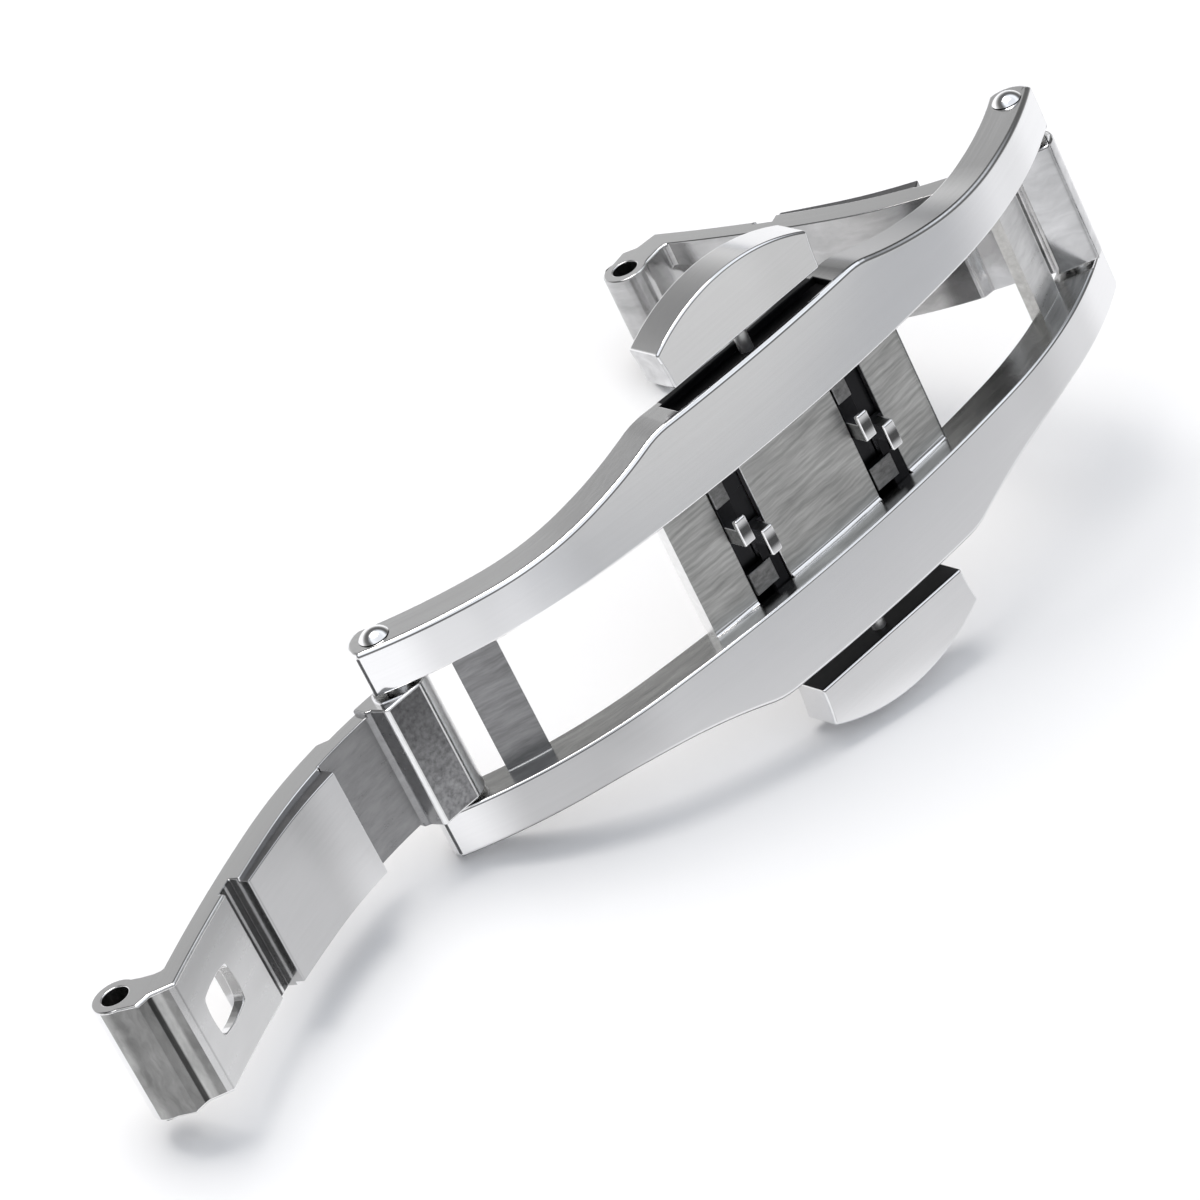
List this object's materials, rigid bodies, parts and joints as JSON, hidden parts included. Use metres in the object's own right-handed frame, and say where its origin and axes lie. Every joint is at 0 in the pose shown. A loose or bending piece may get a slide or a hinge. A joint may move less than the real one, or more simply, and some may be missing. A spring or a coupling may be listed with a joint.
{
  "type": "butterfly clasp",
  "caption": "Double-fold watch clasp: bowed open frame, an arm hinged at each end with a strap tube, and a push button on each side that releases the catch hooks.",
  "frame": {"origin": "centre of the flat wrist face of the back plate, in the middle of the frame", "axes": "+X along the frame towards the right arm, +Y across the frame towards the rear button, +Z out of the frame's front, away from the wrist"},
  "size_m": [0.0558, 0.0204, 0.0205],
  "materials": {
    "frame_steel": "polished rails with brushed floor",
    "plate_steel": "satin",
    "pin_steel": "polished",
    "arm_steel": "satin with polished plate",
    "button_steel": "polished",
    "slider_steel": "bright polished",
    "spring_steel": "drawn wire"
  },
  "bodies": {
    "clasp_frame": {"frame": "frame_steel", "back_plate": "plate_steel", "pin_front_right": "plate_steel", "pin_front_left": "plate_steel", "pin_rear_right": "plate_steel", "pin_rear_left": "plate_steel", "right_hinge_pin": "pin_steel", "left_hinge_pin": "pin_steel", "front_spring_right": "spring_steel", "front_spring_left": "spring_steel", "rear_spring_right": "spring_steel", "rear_spring_left": "spring_steel"},
    "right_fold": {"right_arm": "arm_steel"},
    "left_fold": {"left_arm": "arm_steel"},
    "front_latch": {"front_button": "button_steel", "front_stem": "pin_steel", "front_slider": "slider_steel"},
    "rear_latch": {"rear_button": "button_steel", "rear_stem": "pin_steel", "rear_slider": "slider_steel"}
  },
  "joints": [
    {"name": "right_hinge", "type": "hinge", "parent": "clasp_frame", "child": "right_fold", "pos_m": [0.018, 0, -0.00303], "axis": [0, 1, 0], "range_deg": [-147.5, 152.5]},
    {"name": "left_hinge", "type": "hinge", "parent": "clasp_frame", "child": "left_fold", "pos_m": [-0.018, 0, -0.00303], "axis": [0, -1, 0], "range_deg": [-289.5, 10.5]},
    {"name": "front_press", "type": "slide", "parent": "clasp_frame", "child": "front_latch", "axis": [0, 1, 0], "range_m": [0, 0.00075], "stiffness_N_per_m": 1200, "deforming": ["front_spring_right", "front_spring_left"]},
    {"name": "rear_press", "type": "slide", "parent": "clasp_frame", "child": "rear_latch", "axis": [0, -1, 0], "range_m": [0, 0.00075], "stiffness_N_per_m": 1200, "deforming": ["rear_spring_right", "rear_spring_left"]}
  ]
}
